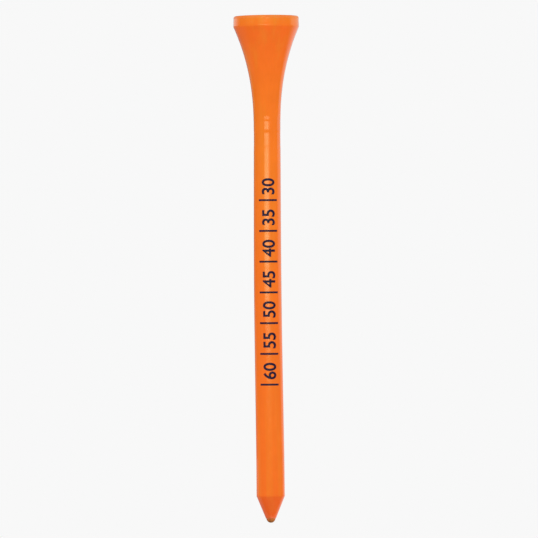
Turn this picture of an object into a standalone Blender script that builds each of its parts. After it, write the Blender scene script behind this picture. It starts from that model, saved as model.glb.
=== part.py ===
"""Wooden golf tee: a turned hardwood body and the coat of paint over it.

Metres, +Z up. The origin is the end of the nose, on the axis, and the cup for the ball opens upwards.
"""

import math

import bpy
from mathutils import Vector

# Sizes over the paint
OVERALL_LENGTH = 0.08255
HEAD_DIAMETER = 0.0107
RIM_HEIGHT = 0.0016
RIM_WALL = 0.0008
CUP_DEPTH = 0.0032
FLARE_LENGTH = 0.0168
NECK_DIAMETER = 0.00428
SHANK_DIAMETER = 0.00453
POINT_LENGTH = 0.00436

# How fast the flare opens from the neck to the rim: 1 is a plain cone, higher is more of a trumpet
FLARE_POWER = 2.36

# Rounded edges of the wood
RIM_ROUND = 0.00025
CUP_EDGE_ROUND = 0.00008
UNDER_RIM_ROUND = 0.0002
SHOULDER_ROUND = 0.0003
NOSE_RADIUS = 0.00072

# The paint, and how far up the point from the rounded nose it stops
COAT_THICKNESS = 0.00004
COAT_CLEARANCE = 0.00001
BARE_POINT = 0.00027

# Facets
SEGMENTS = 40
CUP_STEPS = 7
FLARE_STEPS = 11
ROUND_STEPS = 2
RIM_STEPS = 3
NOSE_STEPS = 4
MERGE_DISTANCE = 0.000001

# Finishes, with linear colours
ORANGE_PAINT = (0.9, 0.19, 0.018, 1.0)
PAINT_ROUGHNESS = 0.35
BARE_BIRCH = (0.33, 0.13, 0.045, 1.0)
BIRCH_ROUGHNESS = 0.7

# Sizes of the bare wood under the film
FILM = COAT_CLEARANCE + COAT_THICKNESS
RIM_Z = OVERALL_LENGTH - FILM
UNDER_RIM_Z = OVERALL_LENGTH - RIM_HEIGHT
NECK_Z = UNDER_RIM_Z - FLARE_LENGTH
HEAD_RADIUS = HEAD_DIAMETER / 2 - FILM
CUP_RADIUS = HEAD_DIAMETER / 2 - RIM_WALL + FILM
NECK_RADIUS = NECK_DIAMETER / 2 - FILM
SHANK_RADIUS = SHANK_DIAMETER / 2 - FILM
RIM_LAND = HEAD_RADIUS - CUP_RADIUS

STRAIGHT_DOWN = -math.pi / 2


def clear_scene():
    for obj in list(bpy.data.objects):
        bpy.data.objects.remove(obj, do_unlink=True)


def surface(name, colour, roughness):
    """A plain finish of one colour."""
    material = bpy.data.materials.new(name)
    material.use_nodes = True
    shader = material.node_tree.nodes["Principled BSDF"]
    shader.inputs["Base Color"].default_value = colour
    shader.inputs["Roughness"].default_value = roughness
    shader.inputs["Metallic"].default_value = 0.0
    material.diffuse_color = colour
    return material


def arc(centre, radius, start, end, steps):
    """Points on a circle from one angle to another, both ends included."""
    points = []
    for step in range(steps + 1):
        angle = start + (end - start) * step / steps
        points.append(centre + radius * Vector((math.cos(angle), math.sin(angle))))
    return points


def rounded(before, corner, after, radius, steps):
    """The corner between two straight runs, as an arc that touches both."""
    back = (before - corner).normalized()
    onward = (after - corner).normalized()
    half = back.angle(onward) / 2
    reach = radius / math.tan(half)
    centre = corner + (back + onward).normalized() * radius / math.sin(half)
    first = corner + back * reach - centre
    last = corner + onward * reach - centre
    start = math.atan2(first.y, first.x)
    turn = math.remainder(math.atan2(last.y, last.x) - start, math.tau)
    return arc(centre, radius, start, start + turn, steps)


def cup_points():
    """The ball's cup, part of a sphere, from its floor out to its mouth."""
    sphere_radius = (CUP_RADIUS**2 + CUP_DEPTH**2) / (2 * CUP_DEPTH)
    centre = Vector((0.0, RIM_Z - CUP_DEPTH + sphere_radius))
    mouth = math.atan2(RIM_Z - centre.y, CUP_RADIUS)
    return arc(centre, sphere_radius, STRAIGHT_DOWN, mouth, CUP_STEPS)


def flare_points():
    """The trumpet from under the rim down to the neck."""
    points = []
    for step in range(FLARE_STEPS, -1, -1):
        share = step / FLARE_STEPS
        radius = NECK_RADIUS + (HEAD_RADIUS - NECK_RADIUS) * share**FLARE_POWER
        points.append(Vector((radius, NECK_Z + FLARE_LENGTH * share)))
    return points


def nose_points(shoulder):
    """The round end of the point, from where the cone from the shoulder touches it down to the axis."""
    centre = Vector((0.0, NOSE_RADIUS))
    line = shoulder - centre
    touch = math.atan2(line.y, line.x) - math.acos(NOSE_RADIUS / line.length)
    return arc(centre, NOSE_RADIUS, touch, STRAIGHT_DOWN, NOSE_STEPS)


def wood_outline():
    """The half section of the wood, as two runs that meet where the paint stops.

    The first goes from the floor of the cup over the rim and down to the paint's edge, and the second
    from there round the bare nose to the axis.
    """
    cup = cup_points()
    rim = Vector((HEAD_RADIUS, RIM_Z))
    flare = flare_points()
    shoulder = Vector((SHANK_RADIUS, POINT_LENGTH))
    nose = nose_points(shoulder)
    up_the_point = (shoulder - nose[0]).normalized()
    paint_edge = nose[0] + up_the_point * BARE_POINT

    # A thin rim has room for less of a round on its two edges
    rim_round = min(RIM_ROUND, RIM_LAND / 2)
    cup_edge_round = min(CUP_EDGE_ROUND, RIM_LAND / 4)

    painted = cup[:-1]
    painted += rounded(cup[-2], cup[-1], rim, cup_edge_round, ROUND_STEPS)
    painted += rounded(cup[-1], rim, flare[0], rim_round, RIM_STEPS)
    painted += rounded(rim, flare[0], flare[1], UNDER_RIM_ROUND, ROUND_STEPS)
    painted += flare[1:]
    painted += rounded(flare[-1], shoulder, paint_edge, SHOULDER_ROUND, ROUND_STEPS)
    painted.append(paint_edge)
    return painted, nose


def grown(points, distance):
    """The same run moved outwards by this distance, with every straight stretch parallel to its own."""
    mirrored = Vector((-points[1].x, points[1].y))
    neighbours = [mirrored, *points, 2 * points[-1] - points[-2]]
    moved = []
    for before, point, after in zip(neighbours, points, neighbours[2:]):
        arriving = (point - before).normalized()
        leaving = (after - point).normalized()
        side = (arriving + leaving).normalized()
        outwards = Vector((-side.y, side.x))
        moved.append(point + outwards * distance / arriving.dot(side))
    return moved


def turned(name, outline, material):
    """A closed round piece from the half section that starts and ends on the axis."""
    mesh = bpy.data.meshes.new(name)
    corners = [(point.x, 0.0, point.y) for point in outline]
    edges = [(index, index + 1) for index in range(len(outline) - 1)]
    mesh.from_pydata(corners, edges, [])
    piece = bpy.data.objects.new(name, mesh)
    bpy.context.scene.collection.objects.link(piece)
    turning = piece.modifiers.new("turning", "SCREW")
    turning.axis = "Z"
    turning.angle = math.tau
    turning.steps = SEGMENTS
    turning.render_steps = SEGMENTS
    turning.use_merge_vertices = True
    turning.merge_threshold = MERGE_DISTANCE
    turning.use_smooth_shade = True
    mesh.materials.append(material)
    return piece


def wooden_body():
    """The one piece of wood, from the floor of the cup to the end of the nose."""
    painted, nose = wood_outline()
    finish = surface("birch", BARE_BIRCH, BIRCH_ROUGHNESS)
    return turned("wooden_body", painted + nose, finish)


def paint_coat():
    """A film of even thickness that follows the wood, open at the nose."""
    painted, _ = wood_outline()
    outside = grown(painted, FILM)
    inside = grown(painted, COAT_CLEARANCE)
    finish = surface("orange_paint", ORANGE_PAINT, PAINT_ROUGHNESS)
    return turned("paint_coat", outside + inside[::-1], finish)


def build_tee():
    clear_scene()
    tee = bpy.data.objects.new("golf_tee", None)
    bpy.context.scene.collection.objects.link(tee)
    for piece in (wooden_body(), paint_coat()):
        piece.parent = tee


build_tee()
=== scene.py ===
"""Wooden golf tee: the finished model and its studio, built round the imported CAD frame.

Metres, +Z up, in the frame's own axes: the end of the nose is the origin and the cup opens upwards.
"""

import math
import random

import bpy
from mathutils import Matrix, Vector


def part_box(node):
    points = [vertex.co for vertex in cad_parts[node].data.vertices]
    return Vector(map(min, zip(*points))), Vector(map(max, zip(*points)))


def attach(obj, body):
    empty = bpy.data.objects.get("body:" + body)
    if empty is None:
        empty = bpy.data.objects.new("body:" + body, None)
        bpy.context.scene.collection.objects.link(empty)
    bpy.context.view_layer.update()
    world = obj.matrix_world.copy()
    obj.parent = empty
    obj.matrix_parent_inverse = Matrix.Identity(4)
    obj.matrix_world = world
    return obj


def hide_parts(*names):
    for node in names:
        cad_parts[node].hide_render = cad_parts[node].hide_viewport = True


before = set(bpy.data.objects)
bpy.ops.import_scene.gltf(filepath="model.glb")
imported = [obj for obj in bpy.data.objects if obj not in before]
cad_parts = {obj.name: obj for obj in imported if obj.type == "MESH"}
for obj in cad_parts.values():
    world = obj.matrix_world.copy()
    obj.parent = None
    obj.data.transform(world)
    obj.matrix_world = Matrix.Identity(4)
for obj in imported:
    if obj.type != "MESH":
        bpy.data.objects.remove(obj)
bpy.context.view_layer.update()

# Sizes over the paint: the first two come from the frame, and the taper makes the rim's top narrower
TEE_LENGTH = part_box("paint_coat")[1].z
HEAD_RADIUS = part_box("paint_coat")[1].x
RIM_HEIGHT = 0.00175
RIM_WALL = 0.0008
RIM_TAPER = 0.00005
CUP_DEPTH = 0.0032
FLARE_LENGTH = 0.0164
NECK_RADIUS = 0.00219
SHANK_RADIUS = 0.00232
POINT_LENGTH = 0.00436

# How fast the flare opens from the neck to the rim: 1 is a plain cone, higher is more of a trumpet
FLARE_POWER = 2.28

# Rounded edges of the wood
RIM_ROUND = 0.00025
CUP_EDGE_ROUND = 0.00008
UNDER_RIM_ROUND = 0.0006
SHOULDER_ROUND = 0.0003
NOSE_RADIUS = 0.00072

# The paint film, the gap under it, how far up the point it stops and how thin it is there
FILM_THICKNESS = 0.00004
FILM_GAP = 0.00001
FILM_OUTSIDE = FILM_THICKNESS + FILM_GAP
BARE_POINT = 0.00027
FILM_EDGE_SHARE = 0.35

# Steps along the half section, and how close its stations lie where marks are cut
CUP_STEPS = 14
FLARE_STEPS = 36
ROUND_STEPS = 4
RIM_STEPS = 6
NOSE_STEPS = 14
WOOD_STATION = 0.0004
PAINT_STATION = 0.00012
STRAIGHT_DOWN = -math.pi / 2

# Turning
SEED_SIZE = 0.001
TURN_SEGMENTS = 80
MERGE_DISTANCE = 0.0000004

# Marks that the lathe leaves round the tee, each cut in over its width and run out slowly below, as
# (distance below the rim, width, depth). The wood has one shallow hollow at the neck. The rest show in
# the paint: the neck's own and more from a seed, with a ripple, all of them fainter low on the shank
NECK_HOLLOW = (0.0193, 0.0014, 0.000028)
NECK_MARKS = (
    (0.0172, 0.0003, 0.0000026),
    (0.0208, 0.0003, 0.0000048),
    (0.0235, 0.00025, 0.0000042),
    (0.0243, 0.00025, 0.0000034),
)
MARK_SEED = 11
MARK_START = 0.005
MARK_SPACING = (0.0008, 0.0034)
MARK_WIDTH = (0.0003, 0.0006)
MARK_DEPTH = (0.0000004, 0.0000014)
MARK_RUNOUT = 3.0
RIPPLE_WAVES = ((0.0000016, 0.0031), (0.0000014, 0.0017), (0.0000009, 0.00093))
LIVELY_TO = 0.025
CALM_FROM = 0.045
CALM_SHARE = 0.08

# The bow: a narrow ring of the shank at this height moves aside and draws what is within reach along
BOW_HEIGHT = 0.0377
BOW_RING = 0.0003
BOW_REACH = 0.031
BOW_ASIDE = -0.000147

# Shallow hollows in the paint
UNEVEN_DEPTH = 0.000009
UNEVEN_SIZE = 0.0011
UNEVEN_STRETCH = 2.2

# The printed height scale, in millimetres below the rim
SCALE_DEPTHS = range(30, 61, 5)
MILLIMETRE = 0.001
TICK_HALF_WIDTH = 0.00145
TICK_LINE = 0.0003

# Its numerals. The three shares are of the font's size: a numeral's height, the gap under which
# points of its outline become one, and how far the outline is thickened
NUMERAL_HALF_HEIGHT = 0.00102
NUMERAL_GAP = 0.0008
CAP_SHARE = 0.73
MERGE_SHARE = 0.004
BOLD_SHARE = 0.017
NUMERAL_SIZE = 2 * NUMERAL_HALF_HEIGHT / CAP_SHARE

# Its film of ink, which starts out flat in front of the shank and is cut into narrow strips
PRINT_STANDOFF = 0.001
PRINT_CUT = 0.00013
INK_LIFT = 0.000012
INK_THICKNESS = 0.000012
SMOOTH_ANGLE = math.radians(40)

# The camera, from the photograph's frame: the span is what it shows across at the tee
FRAME_SPAN = 0.08768
CAMERA_DISTANCE = 0.86
CAMERA_RIGHT = 0.00008
CAMERA_HEIGHT = 0.04135
CAMERA_LEAN = math.radians(0.56)
SENSOR_WIDTH = 36.0
CLIP_START = 0.01
CLIP_END = 20.0

# Noise in the shared effects: its detail, and the values that become the ends of its swing
MOTTLE_DETAIL = 3.0
GRAIN_DETAIL = 4.0
RING_DETAIL = 2.0
EDGE_DETAIL = 3.0
NOISE_SPREAD = (0.3, 0.7)
EDGE_SPREAD = (0.25, 0.75)

# Grain, rings and fine relief that show through the paint and the ink
PAINT_GRAIN = {"Per Metre": 3200.0, "Stretch": 0.06}
PAINT_RINGS = {"Per Metre": 2600.0}
PAINT_RELIEF_DEPTH = 0.000006
PAINT_RELIEF_STRENGTH = 0.35

# The paint's linear colour by height, from the nose at 0 to the rim at 1, with painted shade that makes
# it darker and redder on the point and just under the rim and painted light that makes it paler on the
# upper shank and on the rim, and its paler stripes
ENAMEL_COLOUR_AND_SHADE = (
    (0.0, (0.88, 0.127, 0.02)),
    (0.05, (0.88, 0.127, 0.02)),
    (0.056, (0.9, 0.162, 0.0185)),
    (0.35, (0.9, 0.17, 0.0185)),
    (0.72, (0.9, 0.195, 0.0185)),
    (0.85, (0.9, 0.184, 0.0185)),
    (0.965, (0.925, 0.157, 0.0185)),
    (0.9772, (0.925, 0.157, 0.0185)),
    (0.9808, (0.9, 0.182, 0.0185)),
    (0.995, (0.88, 0.205, 0.02)),
)
# Paler, yellower stripes along the grain, shifted so that one runs down the front of the shank as painted
# light
ENAMEL_LIT_YELLOW = (0.965, 1.17, 1.1, 1.0)
GRAIN_AND_LIGHT_STRIPES = {"Per Metre": 520.0, "Stretch": 0.04}
LIT_STRIPE_SHIFT = (0.0791, 0.0497, 0.217)
STRIPE_SPREAD = (0.45, 0.95)
ENAMEL_CLOUD = {"Per Metre": 420.0, "Amount": 0.025}
TINT_SPREAD = (0.985, 1.015)

# The paint's gloss and relief
ENAMEL_PEEL = {"Per Metre": 5200.0, "Amount": 0.5}
ENAMEL_ROUGHNESS = 0.05
ENAMEL_RING_ROUGHNESS = 0.03
ENAMEL_FIBRE_ROUGHNESS = 0.02
RUBBED_ROUGHNESS = 0.3
ENAMEL_FIBRE_RELIEF = 0.6
ENAMEL_RING_RELIEF = 0.08
ENAMEL_PEEL_RELIEF = 0.06
ENAMEL_SPECULAR = 0.5

# Ragged lines round the tee: where the paint is stained at the nose, where the top of the rim is rubbed
# dull, and where the wood is stained
STAINED_EDGE = (0.6, 0.15, 0.021, 1.0)
PAINT_EDGE = {"Height": 0.0007, "Raggedness": 0.0003, "Per Metre": 2400.0, "Softness": 0.0003}
RUBBED_BAND = 0.0005
RUBBED_EDGE = {
    "Height": TEE_LENGTH - RUBBED_BAND,
    "Raggedness": 0.00015,
    "Per Metre": 1500.0,
    "Softness": 0.0002,
}
WOOD_EDGE = {"Height": 0.00045, "Raggedness": 0.0002, "Per Metre": 3600.0, "Softness": 0.0002}

# The bare wood, with linear colours
BIRCH_PORE = (0.19, 0.062, 0.0105, 1.0)
BIRCH_FIBRE = (0.38, 0.135, 0.026, 1.0)
BIRCH_GRAIN = {"Per Metre": 5200.0, "Stretch": 0.12}
BIRCH_CLOUD = {"Per Metre": 1500.0, "Amount": 0.16}
BIRCH_RINGS = {"Per Metre": 5200.0}
BIRCH_ROUGHNESS = 0.78
BIRCH_FIBRE_ROUGHNESS = -0.15
BIRCH_FIBRE_RELIEF = 0.7
BIRCH_RING_RELIEF = 0.3
BIRCH_RELIEF_DEPTH = 0.00002
BIRCH_RELIEF_STRENGTH = 0.5
BIRCH_SPECULAR = 0.25

# The ink, with linear colours: it is worn thin where its specks swing highest
INK = (0.0135, 0.0085, 0.046, 1.0)
INK_WORN = (0.5, 0.1, 0.03, 1.0)
INK_CLOUD = {"Per Metre": 1800.0, "Amount": 0.3}
INK_SPECKS = {"Per Metre": 9000.0, "Amount": 1.0}
WORN_SPREAD = (1.75, 2.0)
WORN_MOST = 0.5
INK_ROUGHNESS = 0.4
INK_RING_ROUGHNESS = 0.06
INK_FIBRE_RELIEF = 0.5
INK_RING_RELIEF = 0.5

# Softboxes that light the tee: name, place, width, height and power
TEE_MIDDLE = (0.0, 0.0, TEE_LENGTH / 2)
SOFTBOXES = (
    ("left_softbox", (-0.72, -0.35, 0.35), 0.5, 0.5, 1.75),
    ("right_softbox", (0.62, -0.55, 0.35), 0.5, 0.5, 1.6),
    ("right_back_softbox", (0.62, 0.5, 0.35), 0.5, 0.5, 0.15),
    ("back_softbox", (0.0, 0.85, 0.2), 0.4, 0.4, 3.0),
)

# Small cards that only the paint's gloss mirrors, the places on the tee that they face, and where across
# the rim's card, from 0 to 1, it is dark and where it is full
FOOT_CARD = ("foot_card", (-0.0324, 0.0236, 0.005), 0.017, 0.008, 0.00017)
FOOT_PLACE = (-SHANK_RADIUS, 0.0, 0.0075)
RIM_CARD = ("rim_card", (-0.0372, 0.0318, 0.0885), 0.056, 0.012, 0.0017)
RIM_PLACE = (-HEAD_RADIUS, 0.0, TEE_LENGTH - RIM_HEIGHT / 2)
RIM_CARD_FADE = (1.0, 0.6)

# The studio's soft patches: a direction from the tee, the cosines of the angles where the patch is full
# and where it ends, and its strength, which takes light away where it is negative
WINDOW = ((-0.11, -0.9939, 0.0), 1.0, 0.91, 2.95)
CURTAIN = ((0.16, -0.9871, 0.0), 1.0, 0.93, 0.9)
RIGHT_CARD = ((0.7071, 0.7071, 0.0), 0.866, 0.731, 0.85)
LEFT_CARD = ((-0.4226, 0.9063, 0.0), 0.906, 0.766, 0.2)
DIM_SIDE = ((-0.6, 0.8, 0.0), 0.8, 0.3, -0.15)
DOME_LIGHT = 0.98

# The window's colour, and how high a direction rises where the window and the brighter band in it are
# dark and where they are full
WINDOW_COLOUR = (1.0, 0.95, 0.6, 1.0)
WINDOW_FOOT = (-0.021, 0.0)
WINDOW_TOP = (0.105, 0.065)
BAND_FOOT = (-0.001, 0.01)
BAND_TOP = (0.019, 0.012)
BAND_GAIN = 0.6

# The floor, and where its own directions and distances start
FLOOR_SPAN = 8.0
PAPER_WHITE = (0.939, 0.939, 0.939, 1.0)
FLOOR_START = (0.0, -0.0022, 0.0)
FLOOR_LIGHT = 0.9

# The floor's patches, as in the studio: those that the paint mirrors, those where the floor lights the
# tee less, and how much of the left one of these counts beside the flare
RIGHT_CLOSE = ((0.342, 0.94, 0.0), 0.966, 0.545, 1.0)
RIGHT_FAR = ((0.574, 0.819, 0.0), 0.906, 0.755, 0.95)
LEFT_CLOSE = ((-0.8, 0.6, 0.0), 0.97, 0.6, 0.2)
LEFT_FAR = ((-0.4226, 0.9063, 0.0), 0.906, 0.766, 0.4)
LEFT_POINT = ((-0.766, 0.643, 0.0), 0.966, 0.819, 0.45)
DIM_BACK = ((-0.25, 0.97, 0.0), 0.9, -0.2, 0.9)
DIM_LEFT = ((-0.94, 0.342, 0.0), 0.94, 0.5, 0.5)
DIM_LEFT_CLOSE = -0.45

# The distances between which the floor's patches fade
CLOSE_FADE = (0.3, 0.6)
OFF_POINT_FADE = (0.05, 0.09)
UNDER_POINT_FADE = (0.03, 0.02)
DIM_BACK_FADE = (0.04, 0.09)
DIM_NOSE_FADE = (0.008, 0.02)


def deselect_all():
    """Leaves nothing selected, so that an operator acts only on what comes next."""
    bpy.ops.object.select_all(action="DESELECT")


def arc(centre, radius, start, end, steps):
    """Points on a circle from one angle to another, both ends included."""
    points = []
    for step in range(steps + 1):
        angle = start + (end - start) * step / steps
        points.append(centre + radius * Vector((math.cos(angle), math.sin(angle))))
    return points


def rounded(before, corner, after, radius, steps):
    """The corner between two straight runs, as an arc that touches both."""
    back = (before - corner).normalized()
    onward = (after - corner).normalized()
    half = back.angle(onward) / 2
    reach = radius / math.tan(half)
    centre = corner + (back + onward).normalized() * radius / math.sin(half)
    first = corner + back * reach - centre
    last = corner + onward * reach - centre
    start = math.atan2(first.y, first.x)
    turn = math.remainder(math.atan2(last.y, last.x) - start, math.tau)
    return arc(centre, radius, start, start + turn, steps)


def cup_points():
    """The ball's cup in the wood, part of a sphere, from its floor out to its mouth."""
    mouth_radius = HEAD_RADIUS - RIM_WALL + FILM_OUTSIDE
    mouth_height = TEE_LENGTH - FILM_OUTSIDE
    sphere_radius = (mouth_radius**2 + CUP_DEPTH**2) / (2 * CUP_DEPTH)
    centre = Vector((0.0, mouth_height - CUP_DEPTH + sphere_radius))
    mouth = math.atan2(mouth_height - centre.y, mouth_radius)
    return arc(centre, sphere_radius, STRAIGHT_DOWN, mouth, CUP_STEPS)


def flare_points():
    """The trumpet in the wood, from under the rim down to the neck."""
    wide = HEAD_RADIUS - FILM_OUTSIDE
    narrow = NECK_RADIUS - FILM_OUTSIDE
    neck_height = TEE_LENGTH - RIM_HEIGHT - FLARE_LENGTH
    points = []
    for step in range(FLARE_STEPS, -1, -1):
        share = step / FLARE_STEPS
        radius = narrow + (wide - narrow) * share**FLARE_POWER
        points.append(Vector((radius, neck_height + FLARE_LENGTH * share)))
    return points


def nose_points(shoulder):
    """The round end of the point, from where the cone from the shoulder touches it down to the axis."""
    centre = Vector((0.0, NOSE_RADIUS))
    line = shoulder - centre
    touch = math.atan2(line.y, line.x) - math.acos(NOSE_RADIUS / line.length)
    return arc(centre, NOSE_RADIUS, touch, STRAIGHT_DOWN, NOSE_STEPS)


def wood_section():
    """The half section of the wood, as two runs that meet where the paint stops.

    The first goes from the floor of the cup over the rim and down to the paint's edge, and the second
    from there round the bare nose to the axis.
    """
    cup = cup_points()
    rim = Vector((HEAD_RADIUS - RIM_TAPER - FILM_OUTSIDE, TEE_LENGTH - FILM_OUTSIDE))
    flare = flare_points()
    shoulder = Vector((SHANK_RADIUS - FILM_OUTSIDE, POINT_LENGTH))
    nose = nose_points(shoulder)
    up_the_point = (shoulder - nose[0]).normalized()
    paint_edge = nose[0] + up_the_point * BARE_POINT
    painted = cup[:-1]
    painted += rounded(cup[-2], cup[-1], rim, CUP_EDGE_ROUND, ROUND_STEPS)
    painted += rounded(cup[-1], rim, flare[0], RIM_ROUND, RIM_STEPS)
    painted += rounded(rim, flare[0], flare[1], UNDER_RIM_ROUND, ROUND_STEPS)
    painted += flare[1:]
    painted += rounded(flare[-1], shoulder, paint_edge, SHOULDER_ROUND, ROUND_STEPS)
    painted.append(paint_edge)
    return carved(painted, WOOD_STATION, hollow_depth), nose


def grown(points, distance):
    """The same run moved outwards by this distance, with every straight stretch parallel to its own."""
    mirrored = Vector((-points[1].x, points[1].y))
    neighbours = [mirrored, *points, 2 * points[-1] - points[-2]]
    moved = []
    for before, point, after in zip(neighbours, points, neighbours[2:]):
        arriving = (point - before).normalized()
        leaving = (after - point).normalized()
        side = (arriving + leaving).normalized()
        outwards = Vector((-side.y, side.x))
        moved.append(point + outwards * distance / arriving.dot(side))
    return moved


def liveliness(below):
    """How strongly the lathe marked the tee at a distance below the rim."""
    share = (below - LIVELY_TO) / (CALM_FROM - LIVELY_TO)
    return 1.0 - (1.0 - CALM_SHARE) * min(1.0, max(0.0, share))


def mark_depth(below, mark):
    """How deep one mark goes at a distance below the rim."""
    bottom, width, deepest = mark
    away = (bottom - below) / width
    if away < 0:
        away /= -MARK_RUNOUT
    return deepest * (1 + math.cos(math.pi * min(1.0, away))) / 2


def hollow_depth(below):
    """How deep the hollow at the neck goes at a distance below the rim."""
    return mark_depth(below, NECK_HOLLOW)


def paint_marks():
    """The marks in the paint: the neck's own, and fine ones all along the tee from a fixed seed."""
    draw = random.Random(MARK_SEED)
    marks = list(NECK_MARKS)
    below = MARK_START
    while below < TEE_LENGTH - POINT_LENGTH - MARK_WIDTH[1] * MARK_RUNOUT:
        marks.append((below, draw.uniform(*MARK_WIDTH), draw.uniform(*MARK_DEPTH) * liveliness(below)))
        below += draw.uniform(*MARK_SPACING)
    return marks


def paint_mark_depth(below, marks):
    """How deep the ripple and the marks in the paint go at a distance below the rim."""
    ripple = sum(size * (1 - math.cos(math.tau * below / wave)) for size, wave in RIPPLE_WAVES)
    return ripple * liveliness(below) + sum(mark_depth(below, mark) for mark in marks)


def carved(points, station, depth_at):
    """The run with close stations, cut into from the outside as deep as its place below the rim asks."""
    cut = [points[0]]
    for before, after in zip(points, points[1:]):
        run = after - before
        inwards = Vector((run.y, -run.x)).normalized()
        steps = max(1, round(run.length / station))
        for step in range(1, steps + 1):
            place = before + run * step / steps
            cut.append(place + inwards * depth_at(TEE_LENGTH - place.y))
    cut[-1] = points[-1]
    return cut


def turned(name, section):
    """A round piece: one vertex is drawn out along the half section, which is spun about the axis."""
    deselect_all()
    bpy.ops.mesh.primitive_plane_add(size=SEED_SIZE)
    piece = bpy.context.object
    piece.name = name
    piece.data.name = name
    bpy.ops.object.mode_set(mode="EDIT")
    bpy.ops.mesh.select_mode(type="VERT")
    bpy.ops.mesh.select_all(action="SELECT")
    bpy.ops.mesh.merge(type="CENTER")
    bpy.ops.transform.translate(value=(section[0].x, 0.0, section[0].y))
    for before, after in zip(section, section[1:]):
        step = after - before
        bpy.ops.mesh.extrude_region_move(TRANSFORM_OT_translate={"value": (step.x, 0.0, step.y)})
    bpy.ops.mesh.select_all(action="SELECT")
    bpy.ops.mesh.spin(steps=TURN_SEGMENTS, angle=math.tau, center=(0, 0, 0), axis=(0, 0, 1))
    bpy.ops.mesh.select_all(action="SELECT")
    bpy.ops.mesh.remove_doubles(threshold=MERGE_DISTANCE)
    bpy.ops.mesh.normals_make_consistent(inside=False)
    bpy.ops.object.mode_set(mode="OBJECT")
    bpy.ops.object.shade_smooth()
    return piece


def bowed(piece):
    """The slight bow of a wooden stick: a ring at its middle moves aside and draws the rest along."""
    deselect_all()
    bpy.context.view_layer.objects.active = piece
    piece.select_set(True)
    bpy.ops.object.mode_set(mode="EDIT")
    bpy.ops.mesh.select_all(action="DESELECT")
    bpy.ops.object.mode_set(mode="OBJECT")
    for vertex in piece.data.vertices:
        vertex.select = abs(vertex.co.z - BOW_HEIGHT) < BOW_RING
    bpy.ops.object.mode_set(mode="EDIT")
    bpy.ops.transform.translate(
        value=(BOW_ASIDE, 0.0, 0.0),
        use_proportional_edit=True,
        proportional_edit_falloff="SMOOTH",
        proportional_size=BOW_REACH,
    )
    bpy.ops.object.mode_set(mode="OBJECT")


def made_uneven(piece):
    """Shallow hollows over the whole piece, longer along the tee than across it."""
    deselect_all()
    bpy.ops.object.empty_add()
    stretch = bpy.context.object
    stretch.scale = (1.0, 1.0, UNEVEN_STRETCH)
    hollows = bpy.data.textures.new("hollows", "CLOUDS")
    hollows.noise_scale = UNEVEN_SIZE
    deselect_all()
    bpy.context.view_layer.objects.active = piece
    piece.select_set(True)
    bpy.ops.object.modifier_add(type="DISPLACE")
    uneven = piece.modifiers[-1]
    uneven.texture = hollows
    uneven.texture_coords = "OBJECT"
    uneven.texture_coords_object = stretch
    uneven.mid_level = 1.0
    uneven.strength = UNEVEN_DEPTH
    bpy.ops.object.modifier_apply(modifier=uneven.name)
    bpy.data.objects.remove(stretch)


def enamel_coat():
    """The paint film: its outside has tool marks, its inside lies over the wood, and its edge is thin."""
    painted, _ = wood_section()
    marks = paint_marks()
    smooth = grown(painted, FILM_OUTSIDE)
    outside = carved(smooth, PAINT_STATION, lambda below: paint_mark_depth(below, marks))
    inside = grown(painted, FILM_GAP)
    outside[-1] = inside[-1].lerp(outside[-1], FILM_EDGE_SHARE)
    coat = turned("enamel_coat", outside + inside[::-1])
    bowed(coat)
    made_uneven(coat)
    return coat


def birch_core():
    """The wood, which shows only at the nose."""
    painted, nose = wood_section()
    core = turned("birch_core", painted + nose)
    bowed(core)
    return core


def scale_ticks():
    """The lines across the height scale, flat in front of the shank: one, and copies down the shank."""
    deselect_all()
    place = (0.0, -SHANK_RADIUS - PRINT_STANDOFF, TEE_LENGTH - SCALE_DEPTHS[0] * MILLIMETRE)
    bpy.ops.mesh.primitive_plane_add(size=1.0, location=place, rotation=(math.pi / 2, 0.0, 0.0))
    bpy.context.object.scale = (2 * TICK_HALF_WIDTH, TICK_LINE, 1.0)
    bpy.ops.object.transform_apply(location=True, rotation=True, scale=True)
    ticks = [bpy.context.object]
    for _ in SCALE_DEPTHS[1:]:
        bpy.ops.object.duplicate(linked=False)
        bpy.ops.transform.translate(value=(0.0, 0.0, -SCALE_DEPTHS.step * MILLIMETRE))
        bpy.ops.object.transform_apply(location=True, rotation=True, scale=True)
        ticks.append(bpy.context.object)
    return ticks


def scale_numeral(depth):
    """A plain numeral that reads up the shank from its line, flat in front of the shank."""
    deselect_all()
    start = TEE_LENGTH - depth * MILLIMETRE + NUMERAL_GAP
    place = (NUMERAL_HALF_HEIGHT, -SHANK_RADIUS - PRINT_STANDOFF, start)
    bpy.ops.object.text_add(location=place, rotation=(math.pi / 2, -math.pi / 2, 0.0))
    numeral = bpy.context.object
    numeral.data.body = str(depth)
    numeral.scale = (NUMERAL_SIZE, NUMERAL_SIZE, NUMERAL_SIZE)
    bpy.ops.object.convert(target="CURVE")
    outline = bpy.context.object
    bpy.ops.object.mode_set(mode="EDIT")
    bpy.ops.curve.select_all(action="DESELECT")
    for spline in outline.data.splines:
        for point, after in zip(spline.bezier_points, spline.bezier_points[1:]):
            point.select_control_point = (after.co - point.co).length < MERGE_SHARE
    bpy.ops.curve.dissolve_verts()
    bpy.ops.object.mode_set(mode="OBJECT")
    outline.data.offset = BOLD_SHARE
    bpy.ops.object.convert(target="MESH")
    bpy.ops.object.transform_apply(location=True, rotation=True, scale=True)
    return bpy.context.object


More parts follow.
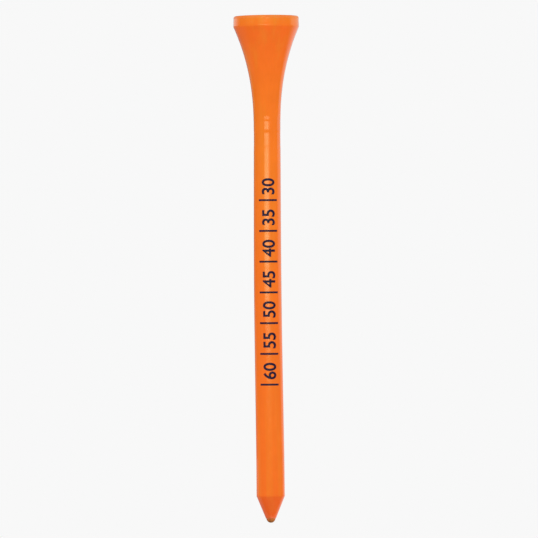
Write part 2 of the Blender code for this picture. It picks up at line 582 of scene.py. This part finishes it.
def height_scale(coat):
    """The printed scale: its flat marks are cut into strips, laid on the shank and given thickness."""
    marks = scale_ticks() + [scale_numeral(depth) for depth in SCALE_DEPTHS]
    deselect_all()
    for mark in marks:
        mark.select_set(True)
    bpy.context.view_layer.objects.active = marks[0]
    bpy.ops.object.join()
    scale = bpy.context.object
    scale.name = "height_scale"
    scale.data.name = "height_scale"
    bpy.ops.object.origin_set(type="ORIGIN_CURSOR")
    bpy.ops.object.mode_set(mode="EDIT")
    bpy.ops.mesh.select_all(action="SELECT")
    bpy.ops.mesh.remove_doubles(threshold=MERGE_DISTANCE)
    cuts = int(TICK_HALF_WIDTH / PRINT_CUT)
    for cut in range(-cuts, cuts + 1):
        bpy.ops.mesh.select_all(action="SELECT")
        bpy.ops.mesh.bisect(plane_co=(cut * PRINT_CUT, 0.0, 0.0), plane_no=(1.0, 0.0, 0.0))
    bpy.ops.object.mode_set(mode="OBJECT")
    bpy.ops.object.modifier_add(type="SHRINKWRAP")
    laid = scale.modifiers[-1]
    laid.target = coat
    laid.wrap_method = "PROJECT"
    laid.wrap_mode = "ABOVE_SURFACE"
    laid.use_project_y = True
    laid.use_positive_direction = True
    laid.offset = INK_LIFT
    bpy.ops.object.modifier_apply(modifier=laid.name)
    bpy.ops.object.modifier_add(type="SOLIDIFY")
    film = scale.modifiers[-1]
    film.thickness = INK_THICKNESS
    film.offset = 1.0
    bpy.ops.object.modifier_apply(modifier=film.name)
    bpy.ops.object.shade_smooth_by_angle(angle=SMOOTH_ANGLE)
    return scale


def node(tree, kind, inputs=None, **settings):
    """A new node with its settings made, and each input given a value or a link."""
    made = tree.nodes.new(kind)
    for name, value in settings.items():
        setattr(made, name, value)
    for name, value in (inputs or {}).items():
        give(tree, made.inputs[name], value)
    return made


def give(tree, socket, value):
    """A socket gets a link from another socket, or a plain value."""
    if isinstance(value, bpy.types.NodeSocket):
        tree.links.new(value, socket)
    else:
        socket.default_value = value


def mixed(tree, factor, first, second, how="MIX"):
    """Two colours mixed, each of them a colour or a link."""
    mix = node(tree, "ShaderNodeMix", data_type="RGBA", blend_type=how)
    wanted = {"Factor_Float": factor, "A_Color": first, "B_Color": second}
    for socket in mix.inputs:
        if socket.identifier in wanted:
            give(tree, socket, wanted[socket.identifier])
    return next(socket for socket in mix.outputs if socket.identifier == "Result_Color")


def ranged(tree, value, low, high, to_low, to_high, how="LINEAR"):
    """A value carried from one range to another."""
    inputs = {"Value": value, "From Min": low, "From Max": high, "To Min": to_low, "To Max": to_high}
    return node(tree, "ShaderNodeMapRange", inputs, interpolation_type=how).outputs["Result"]


def sum_of(tree, *terms, start=0.0):
    """Links added up from a start, each times its own weight."""
    total = start
    for link, weight in terms:
        inputs = {0: link, 1: weight, 2: total}
        total = node(tree, "ShaderNodeMath", inputs, operation="MULTIPLY_ADD").outputs["Value"]
    return total


def product_of(tree, first, *others):
    """Links multiplied with each other."""
    total = first
    for link in others:
        inputs = {0: total, 1: link}
        total = node(tree, "ShaderNodeMath", inputs, operation="MULTIPLY").outputs["Value"]
    return total


def new_group(name, inputs, output):
    """An empty node group with its sockets: every input a number but Coordinates, and one number out."""
    group = bpy.data.node_groups.new(name, "ShaderNodeTree")
    group.interface.new_socket("Coordinates", in_out="INPUT", socket_type="NodeSocketVector")
    for socket in inputs:
        group.interface.new_socket(socket, in_out="INPUT", socket_type="NodeSocketFloat")
    group.interface.new_socket(output, in_out="OUTPUT", socket_type="NodeSocketFloat")
    return group, node(group, "NodeGroupInput").outputs, node(group, "NodeGroupOutput").inputs


def film_mottle_group():
    """Cloudy unevenness of a brushed or printed film: a factor that wanders round 1."""
    group, given, out = new_group("film_mottle", ("Per Metre", "Amount"), "Shade")
    inputs = {"Vector": given["Coordinates"], "Scale": given["Per Metre"], "Detail": MOTTLE_DETAIL}
    cloud = node(group, "ShaderNodeTexNoise", inputs).outputs["Fac"]
    swing = ranged(group, cloud, *NOISE_SPREAD, -1.0, 1.0)
    inputs = {0: swing, 1: given["Amount"], 2: 1.0}
    shade = node(group, "ShaderNodeMath", inputs, operation="MULTIPLY_ADD")
    group.links.new(shade.outputs["Value"], out["Shade"])
    return group


def wood_grain_group():
    """Long fibres that run up the tee, from 0 in a pore to 1 between pores."""
    group, given, out = new_group("wood_grain", ("Per Metre", "Stretch"), "Fibres")
    squeezed = node(group, "ShaderNodeCombineXYZ", {"X": 1.0, "Y": 1.0, "Z": given["Stretch"]})
    inputs = {0: given["Coordinates"], 1: squeezed.outputs["Vector"]}
    drawn = node(group, "ShaderNodeVectorMath", inputs, operation="MULTIPLY")
    inputs = {"Vector": drawn.outputs["Vector"], "Scale": given["Per Metre"], "Detail": GRAIN_DETAIL}
    fibre = node(group, "ShaderNodeTexNoise", inputs).outputs["Fac"]
    group.links.new(ranged(group, fibre, *NOISE_SPREAD, 0.0, 1.0), out["Fibres"])
    return group


def turning_rings_group():
    """Faint rings round the tee, as a lathe tool leaves them, from 0 to 1."""
    group, given, out = new_group("turning_rings", ("Per Metre",), "Rings")
    axes = node(group, "ShaderNodeSeparateXYZ", {"Vector": given["Coordinates"]})
    inputs = {"W": axes.outputs["Z"], "Scale": given["Per Metre"], "Detail": RING_DETAIL}
    ring = node(group, "ShaderNodeTexNoise", inputs, noise_dimensions="1D").outputs["Fac"]
    group.links.new(ranged(group, ring, *NOISE_SPREAD, 0.0, 1.0), out["Rings"])
    return group


def ragged_line_group():
    """A line round the tee at a height, broken by noise: 0 below it and 1 above it."""
    sockets = ("Height", "Raggedness", "Per Metre", "Softness")
    group, given, out = new_group("ragged_line", sockets, "Above")
    axes = node(group, "ShaderNodeSeparateXYZ", {"Vector": given["Coordinates"]})
    inputs = {"Vector": given["Coordinates"], "Scale": given["Per Metre"], "Detail": EDGE_DETAIL}
    rough = node(group, "ShaderNodeTexNoise", inputs).outputs["Fac"]
    swing = ranged(group, rough, *EDGE_SPREAD, -1.0, 1.0)
    inputs = {0: swing, 1: given["Raggedness"], 2: axes.outputs["Z"]}
    place = node(group, "ShaderNodeMath", inputs, operation="MULTIPLY_ADD").outputs["Value"]
    inputs = {0: place, 1: given["Height"]}
    over = node(group, "ShaderNodeMath", inputs, operation="SUBTRACT").outputs["Value"]
    inputs = {0: over, 1: given["Softness"]}
    share = node(group, "ShaderNodeMath", inputs, operation="DIVIDE").outputs["Value"]
    group.links.new(ranged(group, share, -1.0, 1.0, 0.0, 1.0, "SMOOTHSTEP"), out["Above"])
    return group


def effect(tree, group, output, values, shift=(0.0, 0.0, 0.0)):
    """A group placed in a material with its own values."""
    placed = node(tree, "ShaderNodeGroup", node_tree=group)
    coordinates = node(tree, "ShaderNodeTexCoord").outputs["Object"]
    mapped = node(tree, "ShaderNodeMapping", {"Vector": coordinates, "Location": shift})
    tree.links.new(mapped.outputs["Vector"], placed.inputs["Coordinates"])
    for name, value in values.items():
        placed.inputs[name].default_value = value
    return placed.outputs[output]


def height_on_tee(tree):
    """How far up the tee a point lies, from 0 at the nose to 1 at the rim."""
    coordinates = node(tree, "ShaderNodeTexCoord").outputs["Object"]
    axes = node(tree, "ShaderNodeSeparateXYZ", {"Vector": coordinates})
    return ranged(tree, axes.outputs["Z"], 0.0, TEE_LENGTH, 0.0, 1.0)


def colour_steps(tree, place, steps):
    """A colour ramp from a list of places and colours."""
    ramp = node(tree, "ShaderNodeValToRGB", {"Fac": place})
    stops = ramp.color_ramp.elements
    while len(stops) < len(steps):
        stops.new(1.0)
    for stop, (where, colour) in zip(stops, steps):
        stop.position = where
        stop.color = (*colour, 1.0)
    return ramp.outputs["Color"]


def shaded(tree, colour, *factors):
    """A colour made lighter or darker by factors round 1."""
    for factor in factors:
        grey = node(tree, "ShaderNodeCombineColor", {"Red": factor, "Green": factor, "Blue": factor})
        colour = mixed(tree, 1.0, colour, grey.outputs["Color"], "MULTIPLY")
    return colour


def raised(tree, height, depth, strength):
    """A normal from a height that varies over the surface."""
    inputs = {"Height": height, "Distance": depth, "Strength": strength}
    return node(tree, "ShaderNodeBump", inputs).outputs["Normal"]


def finish_material(name):
    """An empty material with its shader, ready to be wired."""
    material = bpy.data.materials.new(name)
    material.use_nodes = True
    tree = material.node_tree
    return material, tree, tree.nodes["Principled BSDF"]


def orange_enamel(groups):
    """Gloss paint with painted shade and light: darker and redder under the rim and on the point,
    paler on the upper shank and the rim, and thin at the nose.

    Paler stripes follow the grain, one of them placed down the front of the shank as painted light,
    and the top of the rim is rubbed dull.
    """
    material, tree, shader = finish_material("orange_enamel")
    cloud = effect(tree, groups["mottle"], "Shade", ENAMEL_CLOUD)
    peel = effect(tree, groups["mottle"], "Shade", ENAMEL_PEEL)
    fibres = effect(tree, groups["grain"], "Fibres", PAINT_GRAIN)
    stripes = effect(tree, groups["grain"], "Fibres", GRAIN_AND_LIGHT_STRIPES, shift=LIT_STRIPE_SHIFT)
    rings = effect(tree, groups["rings"], "Rings", PAINT_RINGS)
    above = effect(tree, groups["edge"], "Above", PAINT_EDGE)
    rubbed = effect(tree, groups["edge"], "Above", RUBBED_EDGE)
    # The paint's colour by height, with painted shade under the rim and on the point and painted light
    # higher up
    colour_and_shade = colour_steps(tree, height_on_tee(tree), ENAMEL_COLOUR_AND_SHADE)
    # Paler stripes along the grain, one of them down the front of the shank as painted light
    pale = mixed(tree, 1.0, colour_and_shade, ENAMEL_LIT_YELLOW, "MULTIPLY")
    striped = mixed(tree, ranged(tree, stripes, *STRIPE_SPREAD, 0.0, 1.0), colour_and_shade, pale)
    tint = ranged(tree, fibres, 0.0, 1.0, *TINT_SPREAD)
    paint = shaded(tree, striped, cloud, tint)
    give(tree, shader.inputs["Base Color"], mixed(tree, above, STAINED_EDGE, paint))
    gloss = sum_of(
        tree,
        (rings, ENAMEL_RING_ROUGHNESS),
        (fibres, ENAMEL_FIBRE_ROUGHNESS),
        (cloud, ENAMEL_ROUGHNESS),
        (rubbed, RUBBED_ROUGHNESS),
    )
    give(tree, shader.inputs["Roughness"], gloss)
    relief = sum_of(
        tree,
        (fibres, ENAMEL_FIBRE_RELIEF),
        (rings, ENAMEL_RING_RELIEF),
        (peel, ENAMEL_PEEL_RELIEF),
    )
    normal = raised(tree, relief, PAINT_RELIEF_DEPTH, PAINT_RELIEF_STRENGTH)
    give(tree, shader.inputs["Normal"], normal)
    shader.inputs["Specular IOR Level"].default_value = ENAMEL_SPECULAR
    return material


def bare_birch(groups):
    """Turned birch, browned at the nose, with paint left in its fibres below the paint's edge."""
    material, tree, shader = finish_material("bare_birch")
    fibres = effect(tree, groups["grain"], "Fibres", BIRCH_GRAIN)
    cloud = effect(tree, groups["mottle"], "Shade", BIRCH_CLOUD)
    rings = effect(tree, groups["rings"], "Rings", BIRCH_RINGS)
    above = effect(tree, groups["edge"], "Above", WOOD_EDGE)
    wood = shaded(tree, mixed(tree, fibres, BIRCH_PORE, BIRCH_FIBRE), cloud)
    give(tree, shader.inputs["Base Color"], mixed(tree, above, wood, STAINED_EDGE))
    gloss = sum_of(tree, (fibres, BIRCH_FIBRE_ROUGHNESS), (cloud, BIRCH_ROUGHNESS))
    give(tree, shader.inputs["Roughness"], gloss)
    relief = sum_of(tree, (fibres, BIRCH_FIBRE_RELIEF), (rings, BIRCH_RING_RELIEF))
    normal = raised(tree, relief, BIRCH_RELIEF_DEPTH, BIRCH_RELIEF_STRENGTH)
    give(tree, shader.inputs["Normal"], normal)
    shader.inputs["Specular IOR Level"].default_value = BIRCH_SPECULAR
    return material


def navy_ink(groups):
    """Printed ink, a little thin in places, with the grain and rings of what lies under it."""
    material, tree, shader = finish_material("navy_ink")
    cloud = effect(tree, groups["mottle"], "Shade", INK_CLOUD)
    specks = effect(tree, groups["mottle"], "Shade", INK_SPECKS)
    fibres = effect(tree, groups["grain"], "Fibres", PAINT_GRAIN)
    rings = effect(tree, groups["rings"], "Rings", PAINT_RINGS)
    worn = ranged(tree, specks, *WORN_SPREAD, 0.0, WORN_MOST)
    give(tree, shader.inputs["Base Color"], mixed(tree, worn, shaded(tree, INK, cloud), INK_WORN))
    gloss = sum_of(tree, (rings, INK_RING_ROUGHNESS), (cloud, INK_ROUGHNESS))
    give(tree, shader.inputs["Roughness"], gloss)
    relief = sum_of(tree, (fibres, INK_FIBRE_RELIEF), (rings, INK_RING_RELIEF))
    normal = raised(tree, relief, PAINT_RELIEF_DEPTH, PAINT_RELIEF_STRENGTH)
    give(tree, shader.inputs["Normal"], normal)
    return material


def make_camera():
    """The photograph's view: level, from far off, and turned so that the tee leans as it does there."""
    location = (CAMERA_RIGHT, -CAMERA_DISTANCE, CAMERA_HEIGHT)
    bpy.ops.object.camera_add(location=location, rotation=(math.pi / 2, CAMERA_LEAN, 0.0))
    camera = bpy.context.object
    camera.name = "photo_camera"
    camera.data.sensor_width = SENSOR_WIDTH
    camera.data.lens = SENSOR_WIDTH * CAMERA_DISTANCE / FRAME_SPAN
    camera.data.clip_start = CLIP_START
    camera.data.clip_end = CLIP_END
    bpy.context.scene.camera = camera


def softbox(name, place, width, height, power, target=TEE_MIDDLE, mirrored=False):
    """A rectangular studio light: it either lights the tee or only shows in the paint's gloss."""
    facing = (Vector(target) - Vector(place)).to_track_quat("-Z", "Y").to_euler()
    bpy.ops.object.light_add(type="AREA", location=place, rotation=facing)
    light = bpy.context.object
    light.name = name
    light.data.shape = "RECTANGLE"
    light.data.size = width
    light.data.size_y = height
    light.data.energy = power
    light.visible_camera = False
    light.visible_glossy = mirrored
    light.visible_diffuse = not mirrored
    return light.data


def make_lights():
    """The softboxes, and the two cards that only show in the gloss, one of them dark at one end."""
    for box in SOFTBOXES:
        softbox(*box)
    softbox(*FOOT_CARD, target=FOOT_PLACE, mirrored=True)
    card = softbox(*RIM_CARD, target=RIM_PLACE, mirrored=True)
    card.use_nodes = True
    tree = card.node_tree
    place = node(tree, "ShaderNodeNewGeometry").outputs["Parametric"]
    across = node(tree, "ShaderNodeSeparateXYZ", {"Vector": place}).outputs["X"]
    shine = ranged(tree, across, *RIM_CARD_FADE, 0.0, 1.0)
    give(tree, tree.nodes["Emission"].inputs["Strength"], shine)


def patch(tree, direction, towards, narrow, wide, strength):
    """A soft patch of the studio, in one direction from the tee."""
    inputs = {0: direction, 1: towards}
    near = node(tree, "ShaderNodeVectorMath", inputs, operation="DOT_PRODUCT").outputs["Value"]
    return ranged(tree, near, wide, narrow, 0.0, strength, "SMOOTHSTEP")


def make_world():
    """A light tent: paper for the camera, a soft dome that lights the tee, and what its gloss mirrors."""
    world = bpy.data.worlds.new("light_tent")
    bpy.context.scene.world = world
    world.use_nodes = True
    world.cycles.sampling_method = "NONE"
    tree = world.node_tree
    tree.nodes.clear()
    path = node(tree, "ShaderNodeLightPath").outputs
    direction = node(tree, "ShaderNodeTexCoord").outputs["Generated"]
    height = node(tree, "ShaderNodeSeparateXYZ", {"Vector": direction}).outputs["Z"]
    window = patch(tree, direction, *WINDOW)
    curtain = patch(tree, direction, *CURTAIN)
    band_foot = ranged(tree, height, *BAND_FOOT, 0.0, 1.0, "SMOOTHSTEP")
    band_top = ranged(tree, height, *BAND_TOP, 0.0, 1.0, "SMOOTHSTEP")
    banded = sum_of(tree, (product_of(tree, band_foot, band_top), BAND_GAIN), start=1.0)
    panes = sum_of(tree, (window, banded), (curtain, 1.0))
    foot = ranged(tree, height, *WINDOW_FOOT, 0.0, 1.0)
    top = ranged(tree, height, *WINDOW_TOP, 0.0, 1.0)
    shine = product_of(tree, panes, foot, top, path["Is Glossy Ray"])
    warm = node(tree, "ShaderNodeBackground", {"Color": WINDOW_COLOUR, "Strength": shine})
    right_card = patch(tree, direction, *RIGHT_CARD)
    left_card = patch(tree, direction, *LEFT_CARD)
    cards = sum_of(tree, (right_card, 1.0), (left_card, 1.0))
    dome = sum_of(tree, (patch(tree, direction, *DIM_SIDE), 1.0), start=DOME_LIGHT)
    light = sum_of(
        tree,
        (path["Is Camera Ray"], 1.0),
        (path["Is Glossy Ray"], cards),
        (path["Is Diffuse Ray"], dome),
    )
    white = node(tree, "ShaderNodeBackground", {"Color": PAPER_WHITE, "Strength": light})
    inputs = {0: white.outputs["Background"], 1: warm.outputs["Background"]}
    both = node(tree, "ShaderNodeAddShader", inputs).outputs["Shader"]
    node(tree, "ShaderNodeOutputWorld", {"Surface": both})


def pale_floor():
    """A wide sheet of even paper under the nose.

    The paint mirrors it to the right, and less to the left: far off, beside the flare and under the
    point. It lights the tee less from behind and from the left.
    """
    deselect_all()
    bpy.ops.mesh.primitive_plane_add(size=FLOOR_SPAN)
    floor = bpy.context.object
    floor.name = "studio_floor"
    material = bpy.data.materials.new("pale_paper")
    material.use_nodes = True
    material.cycles.emission_sampling = "NONE"
    tree = material.node_tree
    tree.nodes.clear()
    path = node(tree, "ShaderNodeLightPath").outputs
    place = node(tree, "ShaderNodeTexCoord").outputs["Object"]
    inputs = {0: place, 1: FLOOR_START}
    away = node(tree, "ShaderNodeVectorMath", inputs, operation="SUBTRACT").outputs["Vector"]
    direction = node(tree, "ShaderNodeVectorMath", {0: away}, operation="NORMALIZE").outputs["Vector"]
    reach = node(tree, "ShaderNodeVectorMath", {0: away}, operation="LENGTH").outputs["Value"]
    far_off = ranged(tree, reach, *CLOSE_FADE, 0.0, 1.0)
    close_by = ranged(tree, reach, *CLOSE_FADE, 1.0, 0.0)
    beside = product_of(tree, ranged(tree, reach, *OFF_POINT_FADE, 0.0, 1.0), close_by)
    under_point = ranged(tree, reach, *UNDER_POINT_FADE, 0.0, 1.0)
    gleam = sum_of(
        tree,
        (patch(tree, direction, *RIGHT_CLOSE), close_by),
        (patch(tree, direction, *RIGHT_FAR), far_off),
        (patch(tree, direction, *LEFT_FAR), far_off),
        (patch(tree, direction, *LEFT_CLOSE), beside),
        (patch(tree, direction, *LEFT_POINT), under_point),
    )
    off_nose = ranged(tree, reach, *DIM_BACK_FADE, 0.0, -1.0)
    near_nose = ranged(tree, reach, *DIM_NOSE_FADE, -1.0, 0.0)
    dim_left = patch(tree, direction, *DIM_LEFT)
    glow = sum_of(
        tree,
        (patch(tree, direction, *DIM_BACK), off_nose),
        (dim_left, near_nose),
        (product_of(tree, dim_left, beside), DIM_LEFT_CLOSE),
        start=FLOOR_LIGHT,
    )
    light = sum_of(
        tree,
        (path["Is Camera Ray"], 1.0),
        (path["Is Diffuse Ray"], glow),
        (path["Is Glossy Ray"], gleam),
    )
    sheet = node(tree, "ShaderNodeEmission", {"Color": PAPER_WHITE, "Strength": light})
    node(tree, "ShaderNodeOutputMaterial", {"Surface": sheet.outputs["Emission"]})
    floor.data.materials.append(material)


def dress(piece, material, replaced=None):
    """Gives a finished piece its material and ties it to the frame."""
    piece.data.materials.clear()
    piece.data.materials.append(material)
    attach(piece, "root")
    if replaced:
        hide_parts(replaced)


coat = enamel_coat()
core = birch_core()
scale = height_scale(coat)
groups = {
    "mottle": film_mottle_group(),
    "grain": wood_grain_group(),
    "rings": turning_rings_group(),
    "edge": ragged_line_group(),
}
dress(coat, orange_enamel(groups), replaced="paint_coat")
dress(core, bare_birch(groups), replaced="wooden_body")
dress(scale, navy_ink(groups))

make_camera()
make_lights()
make_world()
pale_floor()
bpy.context.scene.view_settings.view_transform = "Standard"
